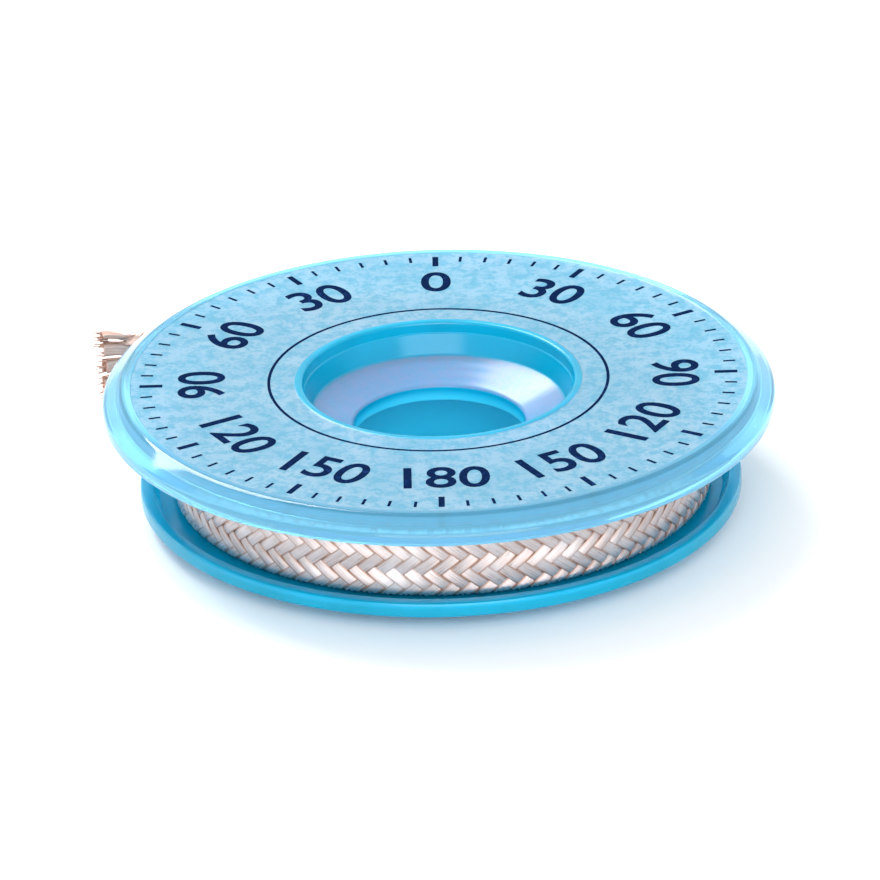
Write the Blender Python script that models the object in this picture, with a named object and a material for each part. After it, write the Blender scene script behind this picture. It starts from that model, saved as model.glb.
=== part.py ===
"""A bobbin of desoldering braid, lying flat on its base flange.

Two pieces: the moulded plastic bobbin, and the flat copper braid wound on its hub with one loose
end. The frame is the bobbin's own: the origin lies on its axis at the base, +Z points along the
axis to the printed face, and the loose end leaves past the rim on the -X side.
"""

import math

import bmesh
import bpy

MILLIMETRE = 0.001

# Bobbin, all in millimetres
FLANGE_RADIUS = 25.0
FLANGE_THICKNESS = 1.3
FACE_BEVEL_WIDTH = 1.5
FACE_BEVEL_DROP = 1.1
RIM_HEIGHT = 0.9
RIM_LIP_WIDTH = 0.9
BASE_INSET = 2.6
BASE_THICKNESS = 1.5
BASE_BEVEL_WIDTH = 3.1
BASE_BEVEL_RISE = 1.3
BASE_LIP_HEIGHT = 0.9
BASE_LIP_WIDTH = 0.9
LIP_SLOPE = 0.5
HUB_RADIUS = 11.2
HUB_WALL = 1.1
WELL_DEPTH = 2.4
WELL_TAPER = 0.6
WELL_LEDGE_WIDTH = 3.7
WELL_LEDGE_FALL = 1.2
WELL_LEDGE_THICKNESS = 1.2
EDGE_ROUND = 0.25
HUB_FILLET = 0.5

# Braid, in millimetres
BRAID_WIDTH = 4.6
BRAID_THICKNESS = 0.55
TURN_RELIEF = 0.12
WINDING_MARGIN = 1.6

# Loose end, in millimetres and degrees
END_OVERHANG = 4.0
END_BEND_RADIUS = 80.0
END_LEAVES_AT = 92.8
END_BURIED_ARC = 24.0
END_INSET = 0.06

# Fits, in millimetres
SEAT_GAP = 0.3
HEADROOM = 2.5

# Facets
BOBBIN_STEPS = 56
BRAID_STEPS = 48
ARC_STEPS = 2
END_STEPS = 14

# Heights and radii that follow from the sizes above
BASE_RADIUS = FLANGE_RADIUS - BASE_INSET
BASE_LIP_TOP = BASE_THICKNESS + BASE_LIP_HEIGHT
WINDING_BOTTOM = BASE_THICKNESS + SEAT_GAP
WINDING_TOP = WINDING_BOTTOM + BRAID_WIDTH
FLANGE_UNDERSIDE = WINDING_TOP + HEADROOM
HEIGHT = FLANGE_UNDERSIDE + FLANGE_THICKNESS
BORE_RADIUS = HUB_RADIUS - HUB_WALL
HOLE_RADIUS = BORE_RADIUS - WELL_LEDGE_WIDTH
WINDING_INNER = HUB_RADIUS + SEAT_GAP
WINDING_ROOM = BASE_RADIUS - WINDING_MARGIN - WINDING_INNER
TURNS = max(1, int(WINDING_ROOM / BRAID_THICKNESS))
WINDING_OUTER = WINDING_INNER + TURNS * BRAID_THICKNESS


def clear_scene():
    for item in list(bpy.data.objects):
        bpy.data.objects.remove(item, do_unlink=True)


def material(name, colour, roughness, metallic, alpha=1.0):
    made = bpy.data.materials.new(name)
    made.use_nodes = True
    shader = made.node_tree.nodes["Principled BSDF"]
    shader.inputs["Base Color"].default_value = (*colour, 1.0)
    shader.inputs["Roughness"].default_value = roughness
    shader.inputs["Metallic"].default_value = metallic
    shader.inputs["Alpha"].default_value = alpha
    return made


def unit(vector):
    length = math.hypot(*vector)
    return vector[0] / length, vector[1] / length


def rounded_corner(before, corner, after, radius):
    """Points of the arc that rounds one corner of an outline, or the corner itself."""
    if radius <= 0:
        return [corner]
    back = unit((before[0] - corner[0], before[1] - corner[1]))
    ahead = unit((after[0] - corner[0], after[1] - corner[1]))
    half_angle = math.acos(back[0] * ahead[0] + back[1] * ahead[1]) / 2
    shorter_side = min(math.dist(before, corner), math.dist(corner, after))
    setback = min(radius / math.tan(half_angle), shorter_side * 0.45)
    radius = setback * math.tan(half_angle)
    middle = unit((back[0] + ahead[0], back[1] + ahead[1]))
    reach = radius / math.sin(half_angle)
    centre = (corner[0] + middle[0] * reach, corner[1] + middle[1] * reach)
    start = (corner[0] + back[0] * setback, corner[1] + back[1] * setback)
    end = (corner[0] + ahead[0] * setback, corner[1] + ahead[1] * setback)
    start_angle = math.atan2(start[1] - centre[1], start[0] - centre[0])
    end_angle = math.atan2(end[1] - centre[1], end[0] - centre[0])
    sweep = (end_angle - start_angle + math.pi) % math.tau - math.pi
    points = []
    for step in range(ARC_STEPS + 1):
        angle = start_angle + sweep * step / ARC_STEPS
        points.append((centre[0] + radius * math.cos(angle), centre[1] + radius * math.sin(angle)))
    return points


def rounded_outline(corners):
    """A closed outline from corners of (radius, height, rounding)."""
    places = [(corner[0], corner[1]) for corner in corners]
    points = []
    for index, corner in enumerate(corners):
        before = places[index - 1]
        after = places[(index + 1) % len(places)]
        points += rounded_corner(before, places[index], after, corner[2])
    return points


def bobbin_outline():
    """Section of the bobbin from the mouth of its well, outwards and down, and back up the bore."""
    face_radius = FLANGE_RADIUS - FACE_BEVEL_WIDTH
    rim_top = HEIGHT - FACE_BEVEL_DROP
    rim_bottom = rim_top - RIM_HEIGHT
    rim_lip_radius = FLANGE_RADIUS - RIM_LIP_WIDTH
    base_lip_radius = BASE_RADIUS - BASE_LIP_WIDTH
    base_flat_radius = BASE_RADIUS - BASE_BEVEL_WIDTH
    well_floor_radius = BORE_RADIUS - WELL_TAPER
    ledge_outside = HEIGHT - WELL_DEPTH
    ledge_inside = ledge_outside - WELL_LEDGE_FALL
    return rounded_outline([
        (BORE_RADIUS, HEIGHT, EDGE_ROUND),
        (face_radius, HEIGHT, EDGE_ROUND),
        (FLANGE_RADIUS, rim_top, EDGE_ROUND),
        (FLANGE_RADIUS, rim_bottom, EDGE_ROUND),
        (rim_lip_radius, rim_bottom, 0),
        (rim_lip_radius - LIP_SLOPE, FLANGE_UNDERSIDE, 0),
        (HUB_RADIUS, FLANGE_UNDERSIDE, HUB_FILLET),
        (HUB_RADIUS, BASE_THICKNESS, 0),
        (base_lip_radius - LIP_SLOPE, BASE_THICKNESS, 0),
        (base_lip_radius, BASE_LIP_TOP, 0),
        (BASE_RADIUS, BASE_LIP_TOP, EDGE_ROUND),
        (BASE_RADIUS, BASE_BEVEL_RISE, EDGE_ROUND),
        (base_flat_radius, 0, EDGE_ROUND),
        (BORE_RADIUS, 0, EDGE_ROUND),
        (BORE_RADIUS, ledge_outside - WELL_LEDGE_THICKNESS, 0),
        (HOLE_RADIUS, ledge_inside - WELL_LEDGE_THICKNESS, 0),
        (HOLE_RADIUS, ledge_inside, EDGE_ROUND),
        (well_floor_radius, ledge_outside, 0),
    ])


def winding_outline():
    """Section of the winding, with one low ridge for each turn on both ends."""
    lower = []
    upper = []
    for turn in range(TURNS):
        seam = WINDING_INNER + turn * BRAID_THICKNESS
        crest = seam + BRAID_THICKNESS / 2
        lower += [(seam, WINDING_BOTTOM + TURN_RELIEF), (crest, WINDING_BOTTOM)]
        upper += [(seam, WINDING_TOP - TURN_RELIEF), (crest, WINDING_TOP)]
    lower.append((WINDING_OUTER, WINDING_BOTTOM + TURN_RELIEF))
    upper.append((WINDING_OUTER, WINDING_TOP - TURN_RELIEF))
    return lower + upper[::-1]


def turned(name, outline, steps, finish):
    """A solid of revolution about Z from a closed outline of (radius, height)."""
    shape = bmesh.new()
    corners = [shape.verts.new((r * MILLIMETRE, 0.0, z * MILLIMETRE)) for r, z in outline]
    sides = [shape.edges.new(pair) for pair in zip(corners, corners[1:] + corners[:1])]
    bmesh.ops.spin(shape, geom=corners + sides, cent=(0, 0, 0), axis=(0, 0, 1),
                   angle=math.tau, steps=steps, use_merge=True)
    bmesh.ops.recalc_face_normals(shape, faces=shape.faces)
    return finished(name, shape, finish)


def finished(name, shape, finish):
    mesh = bpy.data.meshes.new(name)
    shape.to_mesh(mesh)
    shape.free()
    mesh.materials.append(finish)
    mesh.shade_smooth()
    mesh.set_sharp_from_angle(angle=math.radians(30))
    made = bpy.data.objects.new(name, mesh)
    bpy.context.scene.collection.objects.link(made)
    return made


def bend_angle_at(radius, leave_radius):
    """Angle along the end's wide bend at which it is this far from the bobbin's axis."""
    centre_distance = END_BEND_RADIUS - leave_radius
    squares = centre_distance ** 2 + END_BEND_RADIUS ** 2 - radius ** 2
    return math.acos(squares / (2 * centre_distance * END_BEND_RADIUS))


def loose_end_path():
    """Points (x, y, rise) of the loose end's middle line, from inside the last turn to its tip."""
    leave_radius = WINDING_OUTER - BRAID_THICKNESS * 0.6
    leave_angle = math.radians(END_LEAVES_AT)
    buried_angle = math.radians(END_BURIED_ARC)
    tip_bend = bend_angle_at(FLANGE_RADIUS + END_OVERHANG, leave_radius)
    lip_bend = bend_angle_at(BASE_RADIUS - BASE_LIP_WIDTH - LIP_SLOPE - SEAT_GAP, leave_radius)
    full_rise = BASE_LIP_TOP + SEAT_GAP - WINDING_BOTTOM - END_INSET
    climb_length = leave_radius * buried_angle + END_BEND_RADIUS * lip_bend
    outward = (math.cos(leave_angle), math.sin(leave_angle))
    onward = (-outward[1], outward[0])
    points = []
    for step in range(END_STEPS // 2):
        share = step / (END_STEPS // 2)
        angle = leave_angle - buried_angle * (1 - share)
        travelled = leave_radius * buried_angle * share
        rise = full_rise * smooth_step(travelled / climb_length)
        points.append((leave_radius * math.cos(angle), leave_radius * math.sin(angle), rise))
    for step in range(END_STEPS + 1):
        bend = tip_bend * step / END_STEPS
        along_outward = END_BEND_RADIUS * math.cos(bend) - (END_BEND_RADIUS - leave_radius)
        along_onward = END_BEND_RADIUS * math.sin(bend)
        travelled = leave_radius * buried_angle + END_BEND_RADIUS * bend
        rise = full_rise * smooth_step(travelled / climb_length)
        x = outward[0] * along_outward + onward[0] * along_onward
        y = outward[1] * along_outward + onward[1] * along_onward
        points.append((x, y, rise))
    return points


def smooth_step(share):
    share = min(max(share, 0.0), 1.0)
    return share * share * (3 - 2 * share)


def loose_end(finish):
    """The free stretch of braid as an upright ribbon, thickened on both sides."""
    shape = bmesh.new()
    bottom = WINDING_BOTTOM + END_INSET
    path = [shape.verts.new((x * MILLIMETRE, y * MILLIMETRE, (bottom + rise) * MILLIMETRE))
            for x, y, rise in loose_end_path()]
    runs = [shape.edges.new(pair) for pair in zip(path, path[1:])]
    raised = bmesh.ops.extrude_edge_only(shape, edges=runs)["geom"]
    upper = [item for item in raised if isinstance(item, bmesh.types.BMVert)]
    ribbon_width = (BRAID_WIDTH - 2 * END_INSET) * MILLIMETRE
    bmesh.ops.translate(shape, verts=upper, vec=(0, 0, ribbon_width))
    ribbon = finished("braid_end_shape", shape, finish)
    thick = ribbon.modifiers.new("Thickness", "SOLIDIFY")
    thick.thickness = BRAID_THICKNESS * MILLIMETRE
    thick.offset = 0.0
    thick.use_even_offset = True
    ribbon.hide_render = True
    ribbon.display_type = "WIRE"
    return ribbon


def build_bobbin():
    plastic = material("clear_blue_plastic", (0.03, 0.52, 0.80), 0.18, 0.0, alpha=0.62)
    return turned("bobbin", bobbin_outline(), BOBBIN_STEPS, plastic)


def build_braid():
    copper = material("copper_braid", (0.86, 0.52, 0.38), 0.38, 1.0)
    winding = turned("braid", winding_outline(), BRAID_STEPS, copper)
    union = winding.modifiers.new("Loose end", "BOOLEAN")
    union.operation = "UNION"
    union.solver = "EXACT"
    union.object = loose_end(copper)
    return winding


def main():
    clear_scene()
    build_bobbin()
    build_braid()


main()
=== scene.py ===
"""Dresses a bobbin of desoldering braid: the clear blue moulding, the wound copper braid with its
loose end, the print on the face, and the stage around them. All sizes are in metres."""

import math
import random

import bpy
from bpy.props import FloatProperty, FloatVectorProperty, IntProperty, PointerProperty
from mathutils import Matrix, Vector


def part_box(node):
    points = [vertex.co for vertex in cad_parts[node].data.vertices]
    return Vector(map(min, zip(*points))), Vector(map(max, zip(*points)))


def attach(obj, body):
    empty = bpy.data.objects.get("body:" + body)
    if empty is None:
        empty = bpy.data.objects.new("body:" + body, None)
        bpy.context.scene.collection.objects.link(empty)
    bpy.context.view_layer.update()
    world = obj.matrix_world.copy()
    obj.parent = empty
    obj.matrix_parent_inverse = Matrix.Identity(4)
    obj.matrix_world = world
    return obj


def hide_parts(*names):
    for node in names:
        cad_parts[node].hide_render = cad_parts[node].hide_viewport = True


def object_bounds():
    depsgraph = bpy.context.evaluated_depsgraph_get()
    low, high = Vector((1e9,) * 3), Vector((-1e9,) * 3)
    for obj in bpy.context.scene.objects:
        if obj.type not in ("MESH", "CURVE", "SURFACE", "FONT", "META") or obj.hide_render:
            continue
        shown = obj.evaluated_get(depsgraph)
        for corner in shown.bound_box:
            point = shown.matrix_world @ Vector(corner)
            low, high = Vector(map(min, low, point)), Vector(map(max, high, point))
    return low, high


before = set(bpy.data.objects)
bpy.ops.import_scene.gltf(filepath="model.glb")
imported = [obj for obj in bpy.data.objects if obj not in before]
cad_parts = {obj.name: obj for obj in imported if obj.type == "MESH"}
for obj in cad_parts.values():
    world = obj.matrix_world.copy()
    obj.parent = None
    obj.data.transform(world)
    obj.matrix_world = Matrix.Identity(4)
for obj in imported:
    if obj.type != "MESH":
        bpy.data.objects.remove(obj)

bl_info = {
    "name": "Desoldering Braid Bobbin",
    "version": (1, 0, 0),
    "blender": (4, 5, 0),
    "location": "View3D > Sidebar > Braid Bobbin",
    "description": "Models a clear bobbin wound with flat copper desoldering braid",
    "category": "Object",
}

CAD_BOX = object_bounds()
BOBBIN_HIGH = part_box("bobbin")[1]
BRAID_LOW, BRAID_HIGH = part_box("braid")
MM = 0.001
SAME_POINT = 0.002 * MM
BODY = "root"
PLASTIC_SLOT = "clear_blue_plastic"
COPPER_SLOT = "copper_braid"
BUNDLE_MAP = "bundle"


def length(name, description, default):
    """A size that a user can change, in metres."""
    return FloatProperty(name=name, description=description, default=default, min=0.0,
                         unit="LENGTH", subtype="DISTANCE", precision=5)


def colour(name, description, default):
    """A colour that a user can change, in linear values."""
    return FloatVectorProperty(name=name, description=description, default=default, size=3,
                               min=0.0, max=1.0, subtype="COLOR")


class BobbinSettings(bpy.types.PropertyGroup):
    """Sizes and colours of the plastic moulding."""

    flange_radius: length("Flange radius", "Radius of the printed flange", BOBBIN_HIGH.x)
    height: length("Height", "Height from the base to the printed face", BOBBIN_HIGH.z)
    flange_thickness: length("Flange thickness", "Plate of the printed flange", 1.3 * MM)
    face_bevel_width: length("Face bevel width", "Slope between face and rim", 1.5 * MM)
    face_bevel_drop: length("Face bevel drop", "Fall of that slope", 1.1 * MM)
    rim_height: length("Rim height", "Upright edge of the printed flange", 0.9 * MM)
    rim_lip_width: length("Rim lip width", "Lip under the printed flange's edge", 0.9 * MM)
    base_inset: length("Base inset", "How much smaller the base flange is", 2.6 * MM)
    base_thickness: length("Base thickness", "Plate of the base flange", 1.5 * MM)
    base_bevel_width: length("Base bevel width", "Slope under the base flange", 3.1 * MM)
    base_bevel_rise: length("Base bevel rise", "Rise of that slope", 1.3 * MM)
    base_lip_height: length("Base lip height", "Lip round the base flange", 0.9 * MM)
    base_lip_width: length("Base lip width", "Width of that lip", 0.9 * MM)
    lip_slope: length("Lip slope", "Inward slope of both lips", 0.5 * MM)
    hub_radius: length("Hub radius", "Outside of the hub", 11.2 * MM)
    hub_wall: length("Hub wall", "Wall of the hub", 1.1 * MM)
    well_depth: length("Well depth", "From the face down to the ledge in the hub", 2.4 * MM)
    well_taper: length("Well taper", "Inward slope of the well's wall", 0.6 * MM)
    ledge_width: length("Ledge width", "Ledge between the well and the hole", 3.7 * MM)
    ledge_fall: length("Ledge fall", "Slope of the ledge towards the hole", 1.2 * MM)
    ledge_thickness: length("Ledge thickness", "Thickness of the ledge", 1.2 * MM)
    edge_round: length("Edge round", "Rounding of the moulded edges", 0.25 * MM)
    hub_fillet: length("Hub fillet", "Rounding between hub and flange", 0.5 * MM)
    bead_width: length("Bead width", "Low bead on both edges of the printed face", 0.55 * MM)
    bead_height: length("Bead height", "How far the printed face lies below its beads", 0.09 * MM)
    well_step: length("Well step", "Depth of the fine step in the well's wall", 0.9 * MM)
    body_colour: colour("Plastic", "Colour deep in the plastic", (0.0, 0.62, 0.95))
    face_colour: colour("Face", "Paler colour of the fine matt printed face", (0.27, 0.46, 0.60))
    grain_colour: colour("Face grain", "Darker grain of the matt face", (0.075, 0.34, 0.50))
    # Painted reflection: a pale colour on the ledge down in the well, for the light that it reflects.
    ledge_colour: colour("Ledge", "Pale ledge down in the well", (0.36, 0.50, 0.78))
    # Partly painted light: a lighter blue on the rim, for light caught and glowing in its edges; it
    # also tints the clearer rim.
    edge_colour: colour("Edges", "Bright colour of the lit edges", (0.26, 0.73, 1.0))
    # Painted shade: a fine darker line where the face meets its slope.
    line_colour: colour("Edge line", "Fine darker line where face and slope meet", (0.04, 0.33, 0.46))
    # Painted light: a lighter blue inside the hub, for light that comes in through the plastic.
    recess_colour: colour("Recess", "Light blue inside the hub", (0.04, 0.72, 1.0))


class BraidSettings(bpy.types.PropertyGroup):
    """Sizes and colours of the copper braid."""

    width: length("Width", "Width of the flat braid", BRAID_HIGH.z - BRAID_LOW.z - 0.78 * MM)
    thickness: length("Thickness", "Thickness of the flat braid", 0.55 * MM)
    inner_radius: length("Inner radius", "Inside of the winding", 11.5 * MM)
    turns: IntProperty(name="Turns", description="Turns wound on the hub", default=16, min=2)
    lay: length("Lay", "Length in which a bundle goes once round the braid", 11.0 * MM)
    bundles: IntProperty(name="Bundles", description="Bundles of strands each way", default=8)
    end_overhang: length("Overhang", "How far the loose end passes the rim", 4.45 * MM)
    end_bend_radius: length("End bend", "Radius of the loose end's wide bend", 80.0 * MM)
    # Partly painted shade: the winding's copper, pale with flux, is cooler and darker than the cut
    # end's, for the flange's shade and the blue light from the plastic.
    copper: colour("Copper", "Copper strands of the winding, pale with flux", (0.82, 0.72, 0.70))
    bare_copper: colour("Bare copper", "Warmer strands at the cut end", (1.0, 0.75, 0.65))
    # Painted shade: darker copper between the bundles and between the strands.
    shade: colour("Shade", "Browned copper between the bundles", (0.50, 0.28, 0.20))


class PrintSettings(bpy.types.PropertyGroup):
    """The plain dial printed on the face."""

    ink: colour("Ink", "Colour of the print", (0.0, 0.009, 0.045))
    number_height: length("Number height", "Size of the dial's numbers", 3.7 * MM)
    number_weight: length("Number weight", "How far the numbers' strokes are widened", 0.06 * MM)
    number_radius: length("Number radius", "Middle of the ring of numbers", 17.4 * MM)
    tick_radius: length("Tick radius", "Outer end of the tick marks", 22.2 * MM)
    short_tick: length("Short tick", "Length of the fine tick marks", 0.9 * MM)
    long_tick: length("Long tick", "Length of the main tick marks", 1.7 * MM)
    inner_ring: length("Inner ring", "Radius of the thin ring by the well", 12.6 * MM)


class StageSettings(bpy.types.PropertyGroup):
    """Floor, lights and camera."""

    floor_size: length("Floor size", "Side of the square floor", 3.0)
    camera_distance: length("Camera distance", "From the bobbin's middle", 0.80)
    frame_width: length("Frame width", "Width seen at the bobbin", 0.0655)
    elevation: FloatProperty(name="Elevation", description="Camera's angle above the floor",
                             default=math.radians(25.0), subtype="ANGLE", unit="ROTATION")
    roll: FloatProperty(name="Roll", description="Tilt of the photograph's frame",
                        default=math.radians(-1.5), subtype="ANGLE", unit="ROTATION")


class SceneSettings(bpy.types.PropertyGroup):
    """All settings of the bobbin."""

    bobbin: PointerProperty(type=BobbinSettings)
    braid: PointerProperty(type=BraidSettings)
    print_: PointerProperty(type=PrintSettings)
    stage: PointerProperty(type=StageSettings)


def settings():
    return bpy.context.scene.braid_bobbin


# Mesh helpers

def object_mode():
    if bpy.context.mode != "OBJECT":
        bpy.ops.object.mode_set(mode="OBJECT")


def deselect():
    object_mode()
    bpy.ops.object.select_all(action="DESELECT")


def edit_all(piece):
    """Edit mode on one piece, with all of its mesh selected."""
    deselect()
    piece.select_set(True)
    bpy.context.view_layer.objects.active = piece
    bpy.ops.object.mode_set(mode="EDIT")
    bpy.ops.mesh.select_all(action="SELECT")


def apply_modifiers(piece):
    deselect()
    piece.select_set(True)
    bpy.context.view_layer.objects.active = piece
    for name in [modifier.name for modifier in piece.modifiers]:
        bpy.ops.object.modifier_apply(modifier=name)


def join(pieces, name):
    deselect()
    for piece in pieces:
        piece.select_set(True)
    bpy.context.view_layer.objects.active = pieces[0]
    bpy.ops.object.join()
    joined = bpy.context.view_layer.objects.active
    joined.name = name
    joined.data.name = name
    return joined


def settle(piece):
    """Moves the object's place into its mesh, and leaves it at the origin, unturned."""
    deselect()
    piece.select_set(True)
    bpy.context.view_layer.objects.active = piece
    bpy.ops.object.transform_apply(location=True, rotation=True, scale=True)


def smooth(piece, degrees):
    deselect()
    piece.select_set(True)
    bpy.context.view_layer.objects.active = piece
    bpy.ops.object.shade_smooth_by_angle(angle=math.radians(degrees))


def hand_over(piece, slot, finish, *nodes):
    """Gives a piece its material and its body, and hides the nodes that it stands for. The slot is
    not used.
    """
    piece.data.materials.clear()
    piece.data.materials.append(finish)
    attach(piece, BODY)
    if nodes:
        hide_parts(*nodes)


# Material helpers

class NodeBench:
    """Short calls that add and link shader nodes in one material."""

    def __init__(self, name):
        self.material = bpy.data.materials.new(name)
        self.material.use_nodes = True
        self.tree = self.material.node_tree
        self.shader = self.tree.nodes["Principled BSDF"]

    def add(self, kind, **values):
        node = self.tree.nodes.new(kind)
        for key, value in values.items():
            setattr(node, key, value)
        return node

    def feed(self, socket, source):
        if isinstance(source, bpy.types.NodeSocket):
            self.tree.links.new(source, socket)
        else:
            socket.default_value = source

    def maths(self, operation, *values):
        node = self.add("ShaderNodeMath", operation=operation)
        for socket, value in zip(node.inputs, values):
            self.feed(socket, value)
        return node.outputs[0]

    def times(self, first, second):
        return self.maths("MULTIPLY", first, second)

    def inverse(self, value):
        return self.maths("SUBTRACT", 1.0, value)

    def object_place(self):
        return self.add("ShaderNodeTexCoord").outputs["Object"]

    def split(self, vector):
        node = self.add("ShaderNodeSeparateXYZ")
        self.feed(node.inputs[0], vector)
        return node.outputs

    def ramp(self, value, low, high, start=0.0, end=1.0):
        """Smooth step of a value from low to high, onto start to end."""
        node = self.add("ShaderNodeMapRange", interpolation_type="SMOOTHSTEP")
        for index, source in enumerate((value, low, high, start, end)):
            self.feed(node.inputs[index], source)
        return node.outputs[0]

    def noise(self, vector, scale, detail, roughness):
        node = self.add("ShaderNodeTexNoise")
        self.feed(node.inputs["Vector"], vector)
        self.feed(node.inputs["Scale"], scale)
        self.feed(node.inputs["Detail"], detail)
        self.feed(node.inputs["Roughness"], roughness)
        return node.outputs["Fac"]

    def mix(self, share, first, second):
        """Mixes two colours, each a socket or three numbers."""
        node = self.add("ShaderNodeMix", data_type="RGBA")
        self.feed(node.inputs["Factor"], share)
        for socket, source in ((node.inputs[6], first), (node.inputs[7], second)):
            self.feed(socket, source if isinstance(source, bpy.types.NodeSocket) else (*source, 1))
        return node.outputs[2]

    def bump(self, height, strength, distance, normal=None):
        node = self.add("ShaderNodeBump")
        self.feed(node.inputs["Height"], height)
        self.feed(node.inputs["Strength"], strength)
        self.feed(node.inputs["Distance"], distance)
        if normal is not None:
            self.feed(node.inputs["Normal"], normal)
        return node.outputs["Normal"]


# Noise scales of the plastic: the two grains of the matt face, the clouds in it, the haze deep in
# the body, and the soft swirls in its surface
COARSE_GRAIN = 900.0
FINE_GRAIN = 3400.0
FACE_CLOUD = 210.0
BODY_HAZE = 130.0
SWIRL = 160.0

# How much light goes through the body, what the matt face and the recess take from it, and what the
# rim adds
BODY_CLEARNESS = 0.55
FACE_CLOUDING = 0.25
RIM_CLEARING = 0.19
RECESS_CLOUDING = 0.40


def printed_zone(bench, sizes, radius, z):
    """1 on the matt printed face between its two beads."""
    bead = sizes.bead_width + sizes.bead_height
    inner = sizes.hub_radius - sizes.hub_wall + bead
    outer = sizes.flange_radius - sizes.face_bevel_width - bead
    low_face = sizes.height - sizes.bead_height
    blend = 0.12 * MM
    on_top = bench.ramp(z, low_face - 0.10 * MM, low_face - 0.02 * MM)
    inside = bench.ramp(radius, outer + blend, outer)
    outside = bench.ramp(radius, inner - blend, inner)
    return bench.times(on_top, bench.times(inside, outside))


def rim_zones(bench, sizes, radius):
    """1 from the outer bead outwards, and 1 on the fine line of painted shade between that bead and
    the slope.
    """
    face_radius = sizes.flange_radius - sizes.face_bevel_width
    rim = bench.ramp(radius, face_radius - 0.75 * MM, face_radius - 0.45 * MM)
    line_in = bench.ramp(radius, face_radius - 0.20 * MM, face_radius - 0.08 * MM)
    line_out = bench.ramp(radius, face_radius + 0.30 * MM, face_radius + 0.16 * MM)
    return rim, bench.times(line_in, line_out)


def recess_zone(bench, sizes, radius, z):
    """1 inside the hub, below the ledge."""
    bore = sizes.hub_radius - sizes.hub_wall
    below = sizes.height - sizes.well_depth - sizes.ledge_thickness - sizes.ledge_fall
    in_bore = bench.ramp(radius, bore + 0.10 * MM, bore)
    return bench.times(in_bore, bench.ramp(z, below + 1.0 * MM, below + 0.2 * MM))


def ledge_zone(bench, sizes, radius, z):
    """1 on the sloping ledge down in the well."""
    bore = sizes.hub_radius - sizes.hub_wall
    outer = bore - sizes.well_taper
    inner = bore - sizes.ledge_width
    low = sizes.height - sizes.well_depth - sizes.ledge_fall
    steepness = sizes.ledge_fall / (outer - inner)
    height = bench.maths("MULTIPLY_ADD", radius, steepness, low - steepness * inner)
    on_ledge = bench.ramp(bench.maths("SUBTRACT", z, height), -0.20 * MM, -0.05 * MM)
    within = bench.ramp(radius, outer + 0.05 * MM, outer - 0.35 * MM)
    return bench.times(on_ledge, within)


def clear_plastic(sizes):
    """Clear blue plastic with painted light and shade on its rim, ledge and recess, and a fine matt
    texture on the printed face.
    """
    bench = NodeBench("clear_blue_plastic")
    place = bench.object_place()
    x, y, z = bench.split(place)
    radius = bench.maths("SQRT", bench.maths("ADD", bench.times(x, x), bench.times(y, y)))
    face = printed_zone(bench, sizes, radius, z)
    rim, line = rim_zones(bench, sizes, radius)
    recess = recess_zone(bench, sizes, radius, z)
    ledge = ledge_zone(bench, sizes, radius, z)

    coarse = bench.noise(place, COARSE_GRAIN, 4.0, 0.62)
    fine = bench.noise(place, FINE_GRAIN, 2.0, 0.5)
    speckle = bench.maths("MULTIPLY_ADD", coarse, 0.65, bench.times(fine, 0.35))
    haze = bench.noise(place, BODY_HAZE, 3.0, 0.55)
    swirl = bench.noise(place, SWIRL, 2.0, 0.5)

    deep = tuple(0.88 * value for value in sizes.body_colour)
    base = bench.mix(bench.ramp(haze, 0.35, 0.60), deep, sizes.body_colour)
    # Painted light: the rim takes the lighter glow colour.
    base = bench.mix(rim, base, sizes.edge_colour)
    # Painted shade: the fine darker line at the face's edge.
    base = bench.mix(bench.times(line, 0.6), base, sizes.line_colour)
    # Painted light: the recess in the hub takes the lighter blue.
    base = bench.mix(recess, base, sizes.recess_colour)
    # Painted reflection: the ledge takes its pale colour, broken up by the face's grain.
    ledge_reflection = bench.times(ledge, bench.ramp(speckle, 0.30, 0.66, 0.70, 1.0))
    base = bench.mix(ledge_reflection, base, sizes.ledge_colour)
    cover = bench.ramp(bench.noise(place, FACE_CLOUD, 3.0, 0.6), 0.30, 0.60, 0.60, 1.0)
    pale = bench.times(cover, bench.ramp(speckle, 0.40, 0.58, 0.20, 1.0))
    matt_face = bench.mix(pale, sizes.grain_colour, sizes.face_colour)
    shader = bench.shader
    bench.feed(shader.inputs["Base Color"], bench.mix(face, base, matt_face))

    gloss = bench.maths("MULTIPLY_ADD", swirl, 0.12, 0.14)
    gloss = bench.times(gloss, bench.inverse(bench.times(rim, 0.55)))
    roughness = bench.add("ShaderNodeMix", data_type="FLOAT")
    bench.feed(roughness.inputs["Factor"], face)
    bench.feed(roughness.inputs[2], gloss)
    bench.feed(roughness.inputs[3], bench.ramp(speckle, 0.3, 0.7, 0.46, 0.30))
    bench.feed(shader.inputs["Roughness"], roughness.outputs[0])
    bench.feed(shader.inputs["IOR"], 1.49)
    bench.feed(shader.inputs["Specular IOR Level"], 0.22)

    clear = bench.maths("SUBTRACT", BODY_CLEARNESS, bench.times(face, FACE_CLOUDING))
    clear = bench.maths("ADD", clear, bench.times(rim, RIM_CLEARING))
    clear = bench.maths("SUBTRACT", clear, bench.times(recess, RECESS_CLOUDING))
    bench.feed(shader.inputs["Transmission Weight"], clear)

    tool_marks = bench.maths("SINE", bench.times(radius, math.tau / (0.9 * MM)))
    tool_marks = bench.times(tool_marks, bench.ramp(haze, 0.40, 0.60))
    tool_marks = bench.times(tool_marks, bench.inverse(face))
    normal = bench.bump(bench.times(speckle, face), 0.55, 0.05 * MM)
    normal = bench.bump(tool_marks, 0.35, 0.012 * MM, normal)
    bench.feed(shader.inputs["Normal"], bench.bump(swirl, 0.10, 0.15 * MM, normal))
    return bench.material


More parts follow.
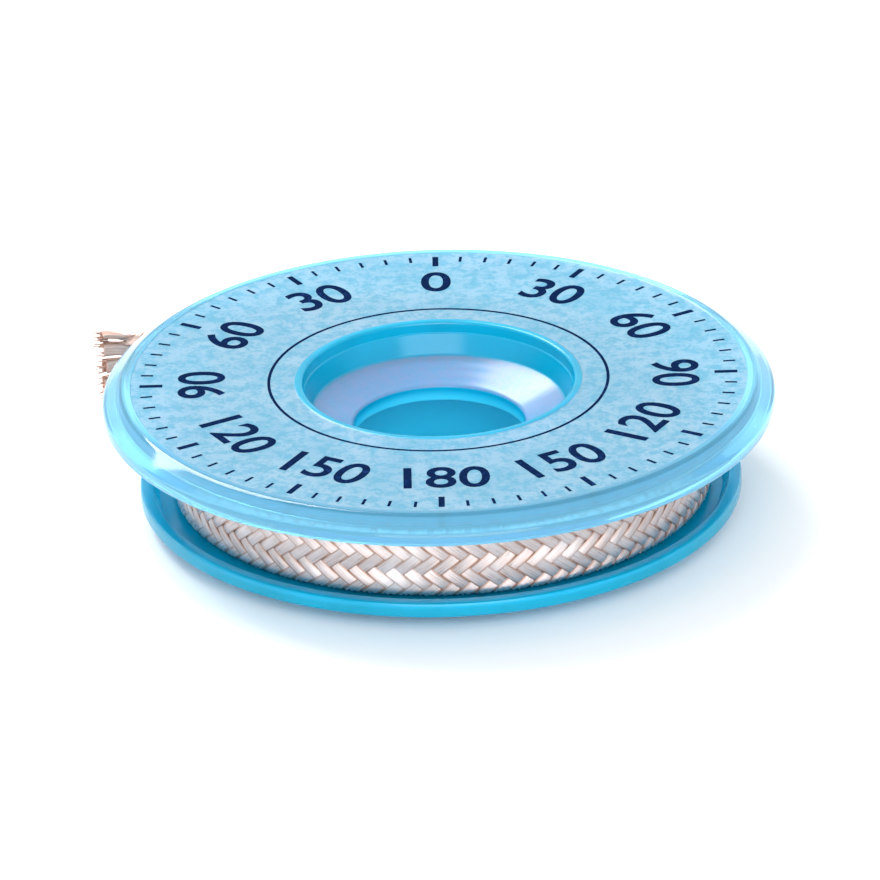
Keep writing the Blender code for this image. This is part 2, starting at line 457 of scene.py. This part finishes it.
# Strands side by side in a bundle, the noise scale of the patches of flux, and where the copper turns
# from the winding's cooler, darker colour, which is painted shade, to the cut end's warmer one, in
# millimetres from the point where the braid leaves the winding
STRANDS = 10
FLUX_PATCH = 420.0
SHADE_FADES_FROM = 2.0
SHADE_FADES_TO = 12.0


def strand_copper(sizes):
    """Bundles of fine bare copper strands, read from the woven pieces' own UV map: U counts
    millimetres along a bundle, and V goes from 0 to 1 across it."""
    bench = NodeBench("copper_braid")
    chart = bench.add("ShaderNodeUVMap", uv_map=BUNDLE_MAP).outputs[0]
    along, across, _ = bench.split(chart)
    ridge = bench.maths("ABSOLUTE", bench.maths("SINE", bench.times(across, STRANDS * math.pi)))
    stretched = bench.add("ShaderNodeCombineXYZ")
    bench.feed(stretched.inputs[0], bench.times(along, 0.6))
    bench.feed(stretched.inputs[1], bench.times(across, STRANDS))
    streak = bench.noise(stretched.outputs[0], 1.0, 2.0, 0.6)
    patch = bench.noise(bench.object_place(), FLUX_PATCH, 3.0, 0.55)

    # Painted light and shade: each bundle lighter along its middle and each strand along its ridge,
    # darker at their edges, with random streaks along the strands.
    from_middle = bench.maths("ABSOLUTE", bench.maths("SUBTRACT", across, 0.5))
    light = bench.times(bench.ramp(from_middle, 0.30, 0.50, 1.0, 0.0),
                        bench.ramp(ridge, 0.0, 0.55, 0.34, 1.0))
    light = bench.times(light, bench.ramp(streak, 0.30, 0.62, 0.54, 1.0))
    # Painted shade: the winding's cooler, darker copper turns to the warmer copper towards the cut
    # end.
    bare = bench.ramp(along, SHADE_FADES_FROM, SHADE_FADES_TO)
    bright = bench.mix(bare, sizes.copper, sizes.bare_copper)
    copper = bench.mix(light, sizes.shade, bright)
    flux = bench.times(bench.ramp(patch, 0.45, 0.75, 0.0, 0.5),
                       bench.ramp(bare, 0.0, 1.0, 1.0, 0.3))
    paler = tuple(0.45 + 0.55 * value for value in sizes.copper)
    shader = bench.shader
    bench.feed(shader.inputs["Base Color"], bench.mix(flux, copper, paler))
    bench.feed(shader.inputs["Metallic"], 0.88)
    bench.feed(shader.inputs["Roughness"], bench.ramp(streak, 0.2, 0.8, 0.24, 0.46))
    bench.feed(shader.inputs["Coat Weight"], 0.15)
    bench.feed(shader.inputs["Coat Roughness"], 0.35)
    grooves = bench.bump(ridge, 0.7, 0.03 * MM)
    bench.feed(shader.inputs["Normal"], bench.bump(streak, 0.25, 0.02 * MM, grooves))
    return bench.material


# Noise scales of the ink and of the floor
INK_GRAIN = 2600.0
FLOOR_CLOUD = 3.0


def print_ink(dial):
    """Dark ink that lies a little unevenly."""
    bench = NodeBench("navy_ink")
    uneven = bench.noise(bench.object_place(), INK_GRAIN, 3.0, 0.6)
    thin = tuple(min(1.0, value * 2.6 + 0.008) for value in dial.ink)
    shader = bench.shader
    colours = bench.mix(bench.ramp(uneven, 0.50, 0.78), dial.ink, thin)
    bench.feed(shader.inputs["Base Color"], colours)
    bench.feed(shader.inputs["Roughness"], bench.ramp(uneven, 0.3, 0.7, 0.50, 0.70))
    bench.feed(shader.inputs["Specular IOR Level"], 0.01)
    bench.feed(shader.inputs["Normal"], bench.bump(uneven, 0.2, 0.01 * MM))
    return bench.material


def pale_floor():
    """Matt, almost white floor."""
    bench = NodeBench("pale_floor")
    cloud = bench.noise(bench.object_place(), FLOOR_CLOUD, 2.0, 0.5)
    shade = bench.mix(cloud, (0.86, 0.86, 0.865), (0.89, 0.89, 0.89))
    bench.feed(bench.shader.inputs["Base Color"], shade)
    bench.feed(bench.shader.inputs["Roughness"], 0.9)
    return bench.material


# The moulding

# Steps of each rounded corner and of the moulding round its axis
ROUND_STEPS = 4
MOULDING_STEPS = 224
# Angle in degrees up to which the plastic's edges are shaded smooth
PLASTIC_SMOOTH = 28


def rounded(corners):
    """A closed outline from corners of (radius, height, setback), each rounded by a small curve
    that starts and ends at the setback from the corner."""
    points = []
    for index, (radius, height, setback) in enumerate(corners):
        corner = Vector((radius, height))
        if not setback:
            points.append(corner)
            continue
        before = Vector(corners[index - 1][:2])
        after = Vector(corners[(index + 1) % len(corners)][:2])
        first = corner + (before - corner).normalized() * setback
        last = corner + (after - corner).normalized() * setback
        for step in range(ROUND_STEPS + 1):
            share = step / ROUND_STEPS
            points.append(first.lerp(corner, share).lerp(corner.lerp(last, share), share))
    return [tuple(point) for point in points]


def moulding_outline(sizes):
    """The moulding's section from the mouth of its well, outwards and down, and up the bore."""
    top = sizes.height
    face = top - sizes.bead_height
    face_radius = sizes.flange_radius - sizes.face_bevel_width
    rim_top = top - sizes.face_bevel_drop
    rim_bottom = rim_top - sizes.rim_height
    underside = top - sizes.flange_thickness
    lip = sizes.flange_radius - sizes.rim_lip_width
    base_radius = sizes.flange_radius - sizes.base_inset
    base_lip = base_radius - sizes.base_lip_width
    base_lip_top = sizes.base_thickness + sizes.base_lip_height
    bore = sizes.hub_radius - sizes.hub_wall
    hole = bore - sizes.ledge_width
    ledge_outside = top - sizes.well_depth
    ledge_inside = ledge_outside - sizes.ledge_fall
    soft = sizes.edge_round
    fine = 0.4 * soft
    step = 0.5 * sizes.bead_height
    return rounded([
        (bore, top, soft),
        (bore + sizes.bead_width, top, fine),
        (bore + sizes.bead_width + sizes.bead_height, face, fine / 2),
        (face_radius - sizes.bead_width - sizes.bead_height, face, fine / 2),
        (face_radius - sizes.bead_width, top, fine),
        (face_radius, top, soft),
        (sizes.flange_radius, rim_top, soft),
        (sizes.flange_radius, rim_bottom, soft),
        (lip, rim_bottom, fine),
        (lip - sizes.lip_slope, underside, fine),
        (sizes.hub_radius, underside, sizes.hub_fillet),
        (sizes.hub_radius, sizes.base_thickness, fine),
        (base_lip - sizes.lip_slope, sizes.base_thickness, fine),
        (base_lip, base_lip_top, fine),
        (base_radius, base_lip_top, soft),
        (base_radius, sizes.base_bevel_rise, soft),
        (base_radius - sizes.base_bevel_width, 0.0, soft),
        (bore, 0.0, soft),
        (bore, ledge_outside - sizes.ledge_thickness, fine),
        (hole, ledge_inside - sizes.ledge_thickness, fine),
        (hole, ledge_inside, soft),
        (bore - sizes.well_taper, ledge_outside, fine),
        (bore - 3 * step, top - sizes.well_step - step, step / 2),
        (bore - step, top - sizes.well_step + step, step / 2),
    ])


def turn(name, outline, steps):
    """Draws a closed outline corner by corner, and spins it round the bobbin's axis."""
    deselect()
    first = outline[0]
    bpy.ops.mesh.primitive_plane_add(size=0.1 * MM, location=(first[0], 0.0, first[1]))
    piece = bpy.context.object
    piece.name = name
    settle(piece)
    edit_all(piece)
    bpy.ops.mesh.merge(type="CENTER")
    for before, after in zip(outline, outline[1:] + outline[:1]):
        step = (after[0] - before[0], 0.0, after[1] - before[1])
        bpy.ops.mesh.extrude_region_move(TRANSFORM_OT_translate={"value": step})
    bpy.ops.mesh.select_all(action="SELECT")
    bpy.ops.mesh.remove_doubles(threshold=SAME_POINT)
    bpy.ops.mesh.select_all(action="SELECT")
    bpy.ops.mesh.spin(steps=steps, angle=math.tau, center=(0, 0, 0), axis=(0, 0, 1))
    bpy.ops.mesh.select_all(action="SELECT")
    bpy.ops.mesh.remove_doubles(threshold=SAME_POINT)
    bpy.ops.mesh.normals_make_consistent(inside=False)
    object_mode()
    return piece


class MouldBobbin(bpy.types.Operator):
    """Turns the plastic bobbin from its section, with its rounded edges and low beads"""

    bl_idname = "braid_bobbin.mould_bobbin"
    bl_label = "Mould Bobbin"

    def execute(self, context):
        sizes = settings().bobbin
        piece = turn("bobbin_moulding", moulding_outline(sizes), MOULDING_STEPS)
        smooth(piece, PLASTIC_SMOOTH)
        hand_over(piece, PLASTIC_SLOT, clear_plastic(sizes), "bobbin")
        return {"FINISHED"}


# The braid

# Room between the braid and the base flange, and between its loose end and the lip that it passes
BRAID_ROOM = 0.3 * MM
LIP_ROOM = 0.02 * MM
# Rounds of closing in on the angle of a run on the spiral
SPIRAL_ROUNDS = 4
# Shares of the braid's thickness: from its middle to the middle of one wall, the rise of a bundle
# over another, and the crown of a bundle
WALL_SHARE = 0.28
LIFT_SHARE = 0.115
CROWN_SHARE = 0.095
# How steeply a bundle climbs over the next, and how much of its room it fills
CLIMB_GAIN = 1.5
BUNDLE_FILL = 0.97
BUNDLE_WALL = 0.05 * MM
# Faces of a bundle: across it, and along it on the length that one bundle takes of the lay
FACES_ACROSS = 4
FACES_ALONG = 5
# The tufts of the cut end: how long they are, how softly they start, how uneven their ends are in
# millimetres, how wide each bundle stays, and how far they spread in width and in depth
TUFT_LENGTH = 2.1 * MM
TUFT_EASE = 0.45 * MM
TUFT_RAGGED = 0.6
TUFT_NARROW = 0.74
TUFT_SPREAD = 0.26
TUFT_DEPTH = 0.6
# The fine wires of the cut end: shortest and longest in millimetres, the part inside the tufts, the
# shares of the braid's width and thickness that they stand on, how far they fan out, and how far
# each strays in height and in depth
WIRES = 54
WIRE_SIDES = 6
WIRE_RADIUS = 0.045 * MM
WIRE_LENGTHS = (0.5, 1.25)
WIRE_ROOT = 0.55 * MM
WIRE_WIDTH_SHARE = 1.20
WIRE_DEPTH_SHARE = 0.8
WIRE_FAN = 0.35
WIRE_STRAY_UP = 0.16
WIRE_STRAY_OUT = 0.20
# The woven turn starts this much more than one turn back, and the inner turns end this much less
# than one turn back, so that the two overlap
WOVEN_OVERLAP = 4.0 * MM
INNER_OVERLAP = 1.5 * MM
# The woven turn's hidden side is left out: the faces this share of its thickness inside its middle.
# It stays this close before the loose end, and from this far above and below the braid's middle
HIDDEN_SHARE = 0.10
KEPT_WHOLE = 9.0 * MM
KEPT_EDGE = 1.9 * MM
# The inner turns: half their thickness and the depth of their knobs, as shares, and the angles of
# the corners on their rounded edge
TURN_REACH = 0.53
KNOB_DEPTH = 0.30
EDGE_ANGLES = (-90, -52, -18, 18, 52, 90)
# Where the random ends and wires start from, so that each run gives the same ones
SEED = 7
# Angle in degrees up to which the copper's edges are shaded smooth
COPPER_SMOOTH = 60


class BraidPath:
    """Middle line of the braid: a spiral on the hub, and then the loose end's wide bend. Lengths
    count from the point where the braid leaves the winding, which is at 0."""

    leaves_at = math.radians(92.8)
    climb_arc = math.radians(24.0)

    def __init__(self):
        bobbin = settings().bobbin
        braid = settings().braid
        self.thickness = braid.thickness
        self.pitch = braid.thickness / math.tau
        outer = braid.inner_radius + braid.turns * braid.thickness
        self.leave_radius = outer - braid.thickness / 2
        self.bend = braid.end_bend_radius
        self.tip = self.bend * self.bend_angle_at(bobbin.flange_radius + braid.end_overhang)
        lip = bobbin.flange_radius - bobbin.base_inset - bobbin.base_lip_width - bobbin.lip_slope
        self.climb_end = self.bend * self.bend_angle_at(lip - BRAID_ROOM)
        self.climb_start = -self.leave_radius * self.climb_arc
        self.climb = bobbin.base_lip_height + LIP_ROOM
        self.rest_height = bobbin.base_thickness + BRAID_ROOM + braid.width / 2

    def bend_angle_at(self, radius):
        """How far round its wide bend the loose end is, where it crosses a radius."""
        apart = self.bend - self.leave_radius
        squares = apart ** 2 + self.bend ** 2 - radius ** 2
        return math.acos(squares / (2 * apart * self.bend))

    def unwound(self, run):
        """Angle on the spiral at a run before the leaving point, and the radius there."""
        turned_back = -run / self.leave_radius
        for _ in range(SPIRAL_ROUNDS):
            covered = self.leave_radius * turned_back - self.pitch * turned_back ** 2 / 2
            turned_back += (-run - covered) / (self.leave_radius - self.pitch * turned_back)
        return self.leaves_at - turned_back, self.leave_radius - self.pitch * turned_back

    def at(self, run):
        """Middle point, outward direction and height there."""
        share = min(max((run - self.climb_start) / (self.climb_end - self.climb_start), 0.0), 1.0)
        height = self.rest_height + self.climb * share * share * (3 - 2 * share)
        outward = Vector((math.cos(self.leaves_at), math.sin(self.leaves_at), 0.0))
        onward = Vector((-outward.y, outward.x, 0.0))
        if run <= 0:
            angle, radius = self.unwound(run)
            out = Vector((math.cos(angle), math.sin(angle), 0.0))
            return out * radius, out, height
        angle = run / self.bend
        out = outward * math.cos(angle) + onward * math.sin(angle)
        return outward * (self.leave_radius - self.bend) + out * self.bend, out, height


def flat_section(place, width, thickness, offset):
    """Point (across, out) on the flattened tube of a braid. Place goes from 0 to 1 round it, and
    offset is how far the point stands out from the middle of its wall."""
    wall = WALL_SHARE * thickness
    straight = width - thickness
    arc = math.pi * wall
    along = (place % 1.0) * (2 * straight + 2 * arc)
    reach = wall + offset
    if along < straight:
        return along - straight / 2, reach
    along -= straight
    if along < arc:
        turned = along / wall
        return straight / 2 + reach * math.sin(turned), reach * math.cos(turned)
    along -= arc
    if along < straight:
        return straight / 2 - along, -reach
    turned = (along - straight) / wall
    return -straight / 2 - reach * math.sin(turned), -reach * math.cos(turned)


def grid(name, columns, rows, wrap):
    """A grid primitive with its corners laid by wrap(column share, row share), which also gives
    each corner's place on the UV map."""
    deselect()
    bpy.ops.mesh.primitive_grid_add(x_subdivisions=columns, y_subdivisions=rows, size=1.0)
    piece = bpy.context.object
    piece.name = name
    mesh = piece.data
    flat = [(corner.co.x + 0.5, corner.co.y + 0.5) for corner in mesh.vertices]
    wrapped = [wrap(*shares) for shares in flat]
    for corner, (place, _) in zip(mesh.vertices, wrapped):
        corner.co = place
    chart = mesh.uv_layers[0]
    chart.name = BUNDLE_MAP
    for loop in mesh.loops:
        chart.data[loop.index].uv = wrapped[loop.vertex_index][1]
    mesh.update()
    return piece


def woven_bundle(path, braid, number, direction, start, end, rng):
    """One bundle of strands, over two and under two of those that cross it."""
    section = 2 * (braid.width - braid.thickness) + math.tau * WALL_SHARE * braid.thickness
    slope = section / braid.lay
    lift = LIFT_SHARE * braid.thickness
    crown = CROWN_SHARE * braid.thickness
    crossings = 2 * braid.bundles / braid.lay
    own_end = end - rng.uniform(0.0, TUFT_RAGGED) * MM
    shift = 0.5 if direction < 0 else 0.0
    crossing = round((path.tip - TUFT_LENGTH) * crossings - 0.5) + 0.5
    fan_start = crossing / crossings - TUFT_EASE

    def wrap(along_share, across_share):
        side = 2 * across_share - 1
        run = start + (own_end - start) * along_share
        free = max(0.0, run - fan_start)
        fading = math.exp(-free / TUFT_EASE)
        laid = run - free + TUFT_EASE * (1 - fading)
        lean = math.atan(slope * fading)
        narrowing = TUFT_NARROW + (1 - TUFT_NARROW) * fading
        half_width = BUNDLE_FILL / 2 * section / braid.bundles * math.cos(lean) * narrowing
        beat = laid * crossings + 0.5 + 2 * number
        phase = math.tau * (beat - 0.5 if direction > 0 else beat + 0.5) / 4
        over = direction * max(-1.0, min(1.0, CLIMB_GAIN * math.cos(phase)))
        offset = over * lift + crown * (1 - side * side)
        place = direction * (laid / braid.lay + (number + shift) / braid.bundles)
        place += direction * side * half_width * math.cos(lean) / section
        run -= side * half_width * math.sin(lean)
        across, out = flat_section(place, braid.width, braid.thickness, offset)
        fan = free / (path.tip - fan_start)
        across *= 1 + TUFT_SPREAD * fan * fan * (3 - 2 * fan)
        out *= 1 + TUFT_DEPTH * fan
        middle, outward, height = path.at(run)
        point = middle + outward * out
        point.z = height + across
        return point, (run / MM, across_share)

    steps = int((own_end - start) / (braid.lay / (FACES_ALONG * braid.bundles)))
    return grid(f"bundle_{number}", steps, FACES_ACROSS, wrap)


def loose_wires(path, braid, rng):
    """Fine strands that stand out of the cut end."""
    wires = []
    end, outward, height = path.at(path.tip)
    onward = Vector((-outward.y, outward.x, 0.0))
    for number in range(WIRES):
        long = rng.uniform(*WIRE_LENGTHS) * MM
        across = (rng.random() - 0.5) * WIRE_WIDTH_SHARE * braid.width
        out = (rng.random() - 0.5) * WIRE_DEPTH_SHARE * braid.thickness
        heading = onward + outward * rng.uniform(-WIRE_STRAY_OUT, WIRE_STRAY_OUT)
        stray_up = rng.uniform(-WIRE_STRAY_UP, WIRE_STRAY_UP)
        heading.z = WIRE_FAN * across / braid.width + stray_up
        heading.normalize()
        root = end + outward * out - onward * WIRE_ROOT
        root.z = height + across
        deselect()
        bpy.ops.mesh.primitive_cylinder_add(
            vertices=WIRE_SIDES, radius=WIRE_RADIUS, depth=long,
            location=root + heading * long / 2,
            rotation=heading.to_track_quat("Z", "Y").to_euler())
        wire = bpy.context.object
        wire.name = f"wire_{number}"
        settle(wire)
        chart = wire.data.uv_layers[0]
        chart.name = BUNDLE_MAP
        for loop in chart.data:
            loop.uv = (path.tip / MM + loop.uv.x, 0.5)
        wires.append(wire)
    return wires


def drop_hidden_faces(piece, path):
    """Leaves out what lies against the turn beneath, where nobody sees it."""
    edit_all(piece)
    bpy.ops.mesh.select_all(action="DESELECT")
    object_mode()
    for face in piece.data.polygons:
        corners = [piece.data.vertices[index].co for index in face.vertices]
        radii = [math.hypot(corner.x, corner.y) for corner in corners]
        middle_run = piece.data.uv_layers[0].data[face.loop_start].uv[0] * MM
        if middle_run > -KEPT_WHOLE:
            continue
        centre, _, height = path.at(middle_run)
        under = all(radius < centre.length - HIDDEN_SHARE * path.thickness for radius in radii)
        inner = all(abs(corner.z - height) < KEPT_EDGE for corner in corners)
        face.select = under and inner
    bpy.ops.object.mode_set(mode="EDIT")
    bpy.ops.mesh.select_mode(type="FACE")
    bpy.ops.mesh.delete(type="FACE")
    bpy.ops.mesh.select_mode(type="VERT")
    object_mode()


class WeaveOuterTurn(bpy.types.Operator):
    """Weaves the last turn of braid and its loose end from bundles that pass over and under"""

    bl_idname = "braid_bobbin.weave_outer_turn"
    bl_label = "Weave Outer Turn"

    def execute(self, context):
        braid = settings().braid
        path = BraidPath()
        rng = random.Random(SEED)
        start = -math.tau * (path.leave_radius - path.thickness / 2) - WOVEN_OVERLAP
        bundles = []
        for direction in (1, -1):
            for number in range(braid.bundles):
                bundles.append(woven_bundle(path, braid, number, direction, start, path.tip, rng))
        piece = join(bundles, "woven_bundles")
        drop_hidden_faces(piece, path)
        edit_all(piece)
        bpy.ops.mesh.normals_make_consistent(inside=False)
        object_mode()
        skin = piece.modifiers.new("Bundle thickness", "SOLIDIFY")
        skin.thickness = BUNDLE_WALL
        skin.offset = 0.0
        apply_modifiers(piece)
        piece = join([piece] + loose_wires(path, braid, rng), "braid_outer_turn")
        smooth(piece, COPPER_SMOOTH)
        hand_over(piece, COPPER_SLOT, strand_copper(braid), "braid")
        return {"FINISHED"}


class WindInnerTurns(bpy.types.Operator):
    """Winds the inner turns of braid, with the knobbly edges that show on the roll's ends"""

    bl_idname = "braid_bobbin.wind_inner_turns"
    bl_label = "Wind Inner Turns"

    def execute(self, context):
        braid = settings().braid
        path = BraidPath()
        turns_back = math.tau * (braid.turns - 0.5)
        start = -(path.leave_radius * turns_back - path.pitch * turns_back ** 2 / 2)
        last_turn = math.tau * (path.leave_radius - path.thickness / 2)
        end = -last_turn + INNER_OVERLAP
        knob = braid.lay / (2 * braid.bundles)
        reach = TURN_REACH * braid.thickness
        straight = braid.width / 2 - reach
        corners = len(EDGE_ANGLES)
        around = 2 * corners

        def wrap(along_share, around_share):
            run = start + (end - start) * along_share
            bulge = 0.5 + 0.5 * math.cos(math.tau * run / knob)
            corner = round(around_share * around) % around
            turned = math.radians(EDGE_ANGLES[corner % corners])
            upper = 1 if corner < corners else -1
            across = upper * (straight + reach * math.cos(turned) * (1 - KNOB_DEPTH * bulge))
            out = upper * reach * math.sin(turned)
            middle, outward, height = path.at(run)
            point = middle + outward * out
            point.z = height + across
            return point, (run / MM, 2 * (around_share % 0.5))

        steps = int((end - start) / (knob / 2))
        piece = grid("braid_inner_turns", steps, around, wrap)
        edit_all(piece)
        bpy.ops.mesh.remove_doubles(threshold=SAME_POINT)
        bpy.ops.mesh.select_all(action="SELECT")
        bpy.ops.mesh.fill_holes(sides=around + 2)
        bpy.ops.mesh.select_all(action="SELECT")
        bpy.ops.mesh.normals_make_consistent(inside=False)
        object_mode()
        smooth(piece, COPPER_SMOOTH)
        hand_over(piece, COPPER_SLOT, bpy.data.materials["copper_braid"], "braid")
        return {"FINISHED"}


# The print

TICKS = 72
NUMBERS = 12
PRINT_THICKNESS = 0.03 * MM
MAIN_TICK_WIDTH = 0.45 * MM
FINE_LINE_WIDTH = 0.22 * MM
# Font size for digits one unit high
FONT_SCALE = 1.32
# Steps of a number's curves and of the thin ring
CURVE_STEPS = 6
RING_STEPS = 160


def printed(piece, name):
    """Names a printed mark, and moves its place into its mesh."""
    piece.name = name
    settle(piece)
    return piece


class PrintFace(bpy.types.Operator):
    """Prints a plain dial of tick marks and numbers on the face"""

    bl_idname = "braid_bobbin.print_face"
    bl_label = "Print Face"

    def execute(self, context):
        dial = settings().print_
        top = settings().bobbin.height - settings().bobbin.bead_height
        ink = print_ink(dial)
        marks = self.ticks(dial, top) + [self.ring(dial, top)]
        hand_over(join(marks, "face_marks"), PLASTIC_SLOT, ink)
        numbers = [self.number(dial, top, 360 // NUMBERS * step) for step in range(NUMBERS)]
        hand_over(join(numbers, "face_numbers"), PLASTIC_SLOT, ink)
        return {"FINISHED"}

    def ticks(self, dial, top):
        made = []
        for step in range(TICKS):
            main = step % (TICKS // NUMBERS) == 0
            long = dial.long_tick if main else dial.short_tick
            wide = MAIN_TICK_WIDTH if main else FINE_LINE_WIDTH
            deselect()
            bpy.ops.mesh.primitive_cube_add(size=1.0)
            tick = bpy.context.object
            tick.scale = (wide, long, PRINT_THICKNESS)
            tick.location = (0.0, dial.tick_radius - long / 2, top)
            settle(tick)
            tick.rotation_euler.z = -math.tau * step / TICKS
            made.append(printed(tick, f"tick_{step}"))
        return made

    def ring(self, dial, top):
        half = FINE_LINE_WIDTH / 2
        low = top - PRINT_THICKNESS / 2
        high = top + PRINT_THICKNESS / 2
        outline = [
            (dial.inner_ring + half, high),
            (dial.inner_ring + half, low),
            (dial.inner_ring - half, low),
            (dial.inner_ring - half, high),
        ]
        return turn("inner_ring", outline, RING_STEPS)

    def number(self, dial, top, degrees):
        """One number, counted up to 180 both ways round, and turned about on the near half."""
        deselect()
        bpy.ops.object.text_add()
        text = bpy.context.object
        text.data.body = str(min(degrees, 360 - degrees))
        text.data.align_x = "CENTER"
        text.data.align_y = "CENTER"
        text.data.size = dial.number_height * FONT_SCALE
        text.data.offset = dial.number_weight
        text.data.extrude = PRINT_THICKNESS / 2
        text.data.resolution_u = CURVE_STEPS
        bpy.ops.object.convert(target="MESH")
        turned_by = -math.radians(degrees)
        text.location = Matrix.Rotation(turned_by, 3, "Z") @ Vector((0, dial.number_radius, top))
        upright = math.pi if 90 < degrees < 270 else 0.0
        text.rotation_euler.z = turned_by + upright
        return printed(text, f"number_{degrees}")


# The stage

# Each light's name, place, side and power
LIGHTS = (
    ("key_light", (-0.30, 0.40, 0.56), 0.40, 5.6),
    ("fill_light", (0.05, -0.60, 0.22), 0.60, 3.6),
)
# Gap that keeps the floor clear of the base
FLOOR_GAP = 0.02 * MM


class SetStage(bpy.types.Operator):
    """Lays the pale floor and sets the soft studio light and the camera"""

    bl_idname = "braid_bobbin.set_stage"
    bl_label = "Set Stage"

    def execute(self, context):
        stage = settings().stage
        self.floor(stage)
        self.world()
        for light in LIGHTS:
            self.area(*light)
        self.camera(stage)
        context.scene.view_settings.view_transform = "Standard"
        return {"FINISHED"}

    def floor(self, stage):
        deselect()
        bpy.ops.mesh.primitive_plane_add(size=stage.floor_size, location=(0, 0, -FLOOR_GAP))
        floor = bpy.context.object
        floor.name = "floor"
        settle(floor)
        floor.data.materials.append(pale_floor())

    def world(self):
        world = bpy.data.worlds.new("soft_daylight")
        bpy.context.scene.world = world
        world.use_nodes = True
        background = world.node_tree.nodes["Background"]
        background.inputs["Color"].default_value = (1.0, 1.0, 1.0, 1.0)
        background.inputs["Strength"].default_value = 1.0

    def area(self, name, place, size, power):
        deselect()
        bpy.ops.object.light_add(type="AREA", location=place)
        light = bpy.context.object
        light.name = name
        light.data.size = size
        light.data.energy = power
        light.rotation_euler = (Vector(place) * -1).to_track_quat("-Z", "Y").to_euler()

    def camera(self, stage):
        deselect()
        low, high = CAD_BOX
        middle = (low + high) / 2
        back = Vector((0, -math.cos(stage.elevation), math.sin(stage.elevation)))
        bpy.ops.object.camera_add(location=middle + back * stage.camera_distance)
        camera = bpy.context.object
        aim = (-back).to_track_quat("-Z", "Y").to_matrix()
        camera.rotation_euler = (aim @ Matrix.Rotation(stage.roll, 3, "Z")).to_euler()
        camera.data.lens = camera.data.sensor_width * stage.camera_distance / stage.frame_width
        camera.data.clip_start = 0.01
        camera.data.clip_end = 10.0
        bpy.context.scene.camera = camera


class BobbinPanel(bpy.types.Panel):
    """Lists the steps that make the bobbin"""

    bl_idname = "VIEW3D_PT_braid_bobbin"
    bl_label = "Braid Bobbin"
    bl_space_type = "VIEW_3D"
    bl_region_type = "UI"
    bl_category = "Braid Bobbin"

    def draw(self, context):
        for step in STEPS:
            self.layout.operator(step.bl_idname)
        for group in ("bobbin", "braid", "print_", "stage"):
            box = self.layout.box()
            held = getattr(settings(), group)
            for name in held.__annotations__:
                box.prop(held, name)


STEPS = (MouldBobbin, WeaveOuterTurn, WindInnerTurns, PrintFace, SetStage)
GROUPS = (BobbinSettings, BraidSettings, PrintSettings, StageSettings, SceneSettings)


def register():
    for kind in (*GROUPS, *STEPS, BobbinPanel):
        bpy.utils.register_class(kind)
    bpy.types.Scene.braid_bobbin = PointerProperty(type=SceneSettings)


def unregister():
    del bpy.types.Scene.braid_bobbin
    for kind in reversed((*GROUPS, *STEPS, BobbinPanel)):
        bpy.utils.unregister_class(kind)


def write_sizes():
    """Brings the view layer up to date."""
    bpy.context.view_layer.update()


def main():
    register()
    bpy.ops.braid_bobbin.mould_bobbin()
    bpy.ops.braid_bobbin.weave_outer_turn()
    bpy.ops.braid_bobbin.wind_inner_turns()
    bpy.ops.braid_bobbin.print_face()
    bpy.ops.braid_bobbin.set_stage()
    write_sizes()


if __name__ == "__main__":
    main()
